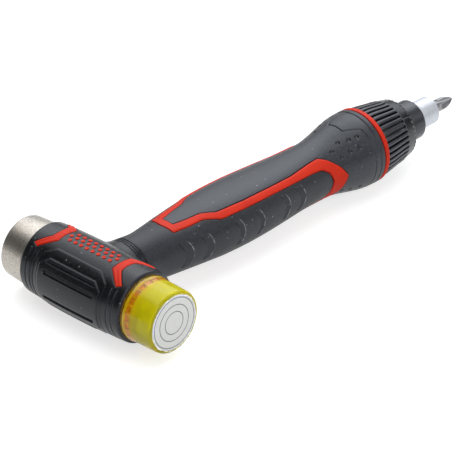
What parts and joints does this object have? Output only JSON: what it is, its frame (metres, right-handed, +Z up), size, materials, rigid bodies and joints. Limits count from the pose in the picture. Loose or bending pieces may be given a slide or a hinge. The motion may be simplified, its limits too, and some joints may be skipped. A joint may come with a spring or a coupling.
{
  "type": "two-faced hammer with ratchet screwdriver handle",
  "caption": "Hammer with a steel face and a clear yellow plastic face on a black and red head; its handle ends in a ratchet screwdriver with a ribbed selector ring and a cross-point bit.",
  "frame": {"origin": "centre of the bounding box, on the ground that the tool lies on", "axes": "+Y along the handle towards the bit, +X along the head towards the plastic face, +Z up from the side that the tool lies on"},
  "size_m": [0.0914, 0.2416, 0.0356],
  "materials": {
    "satin_steel": "satin turned",
    "hardened_steel": "dark, ground",
    "spring_steel": "drawn wire and strip",
    "chromed_steel": "satin chrome",
    "cast_metal": "as cast",
    "black_soft_plastic": "fine matt texture",
    "black_hard_plastic": "satin",
    "dark_grey_plastic": "fine matt texture",
    "red_plastic": "satin",
    "clear_yellow_plastic": "polished, see-through",
    "amber_plastic": "polished",
    "white_paper": "plain, smooth"
  },
  "bodies": {
    "handle": {"head_core": "cast_metal", "head_red_layer": "red_plastic", "head_cover": "black_soft_plastic", "shaft_pin": "hardened_steel", "handle_shaft": "hardened_steel", "handle_core": "dark_grey_plastic", "grip_sleeve": "black_soft_plastic", "red_frame": "red_plastic", "red_ring": "red_plastic", "ratchet_housing": "cast_metal", "pawl_pin_left": "spring_steel", "pawl_pin_right": "spring_steel", "pawl_spring": "spring_steel", "selector_snap_ring": "spring_steel", "detent_ball": "spring_steel", "detent_spring": "spring_steel", "nose_bushing": "black_hard_plastic"},
    "hard_face": {"steel_face": "satin_steel"},
    "plastic_face": {"soft_face": "clear_yellow_plastic", "soft_face_insert": "amber_plastic", "face_label": "white_paper"},
    "spindle": {"bit_holder": "chromed_steel", "drive_gear": "hardened_steel", "spindle_clip": "spring_steel", "bit_magnet": "spring_steel"},
    "bit": {"screwdriver_bit": "hardened_steel"},
    "selector": {"selector_ring": "black_hard_plastic"},
    "left_pawl": {"pawl_left": "hardened_steel"},
    "right_pawl": {"pawl_right": "hardened_steel"}
  },
  "joints": [
    {"name": "hard_face_release", "type": "slide", "parent": "handle", "child": "hard_face", "axis": [-1, 0, 0], "range_m": [0, 0.02]},
    {"name": "plastic_face_release", "type": "slide", "parent": "handle", "child": "plastic_face", "axis": [1, 0, 0], "range_m": [0, 0.02]},
    {"name": "spindle_turn", "type": "hinge", "parent": "handle", "child": "spindle", "pos_m": [-0.00175, 0.07698, 0.0178], "axis": [0, 1, 0], "continuous": true},
    {"name": "bit_release", "type": "slide", "parent": "spindle", "child": "bit", "axis": [0, 1, 0], "range_m": [0, 0.02]},
    {"name": "selector_turn", "type": "hinge", "parent": "handle", "child": "selector", "pos_m": [-0.00175, 0.07197, 0.0178], "axis": [0, 1, 0], "range_deg": [-20, 20]},
    {"name": "left_pawl_tilt", "type": "hinge", "parent": "handle", "child": "left_pawl", "pos_m": [-0.01022, 0.05097, 0.02349], "axis": [0, 1, 0], "range_deg": [-7.5, 7.5]},
    {"name": "right_pawl_tilt", "type": "hinge", "parent": "handle", "child": "right_pawl", "pos_m": [0.00672, 0.05097, 0.02349], "axis": [0, 1, 0], "range_deg": [-7.5, 7.5]}
  ],
  "couplings": [
    {"joint": "left_pawl_tilt", "follows": "selector_turn", "ratio": 0.35},
    {"joint": "right_pawl_tilt", "follows": "selector_turn", "ratio": 0.35}
  ]
}
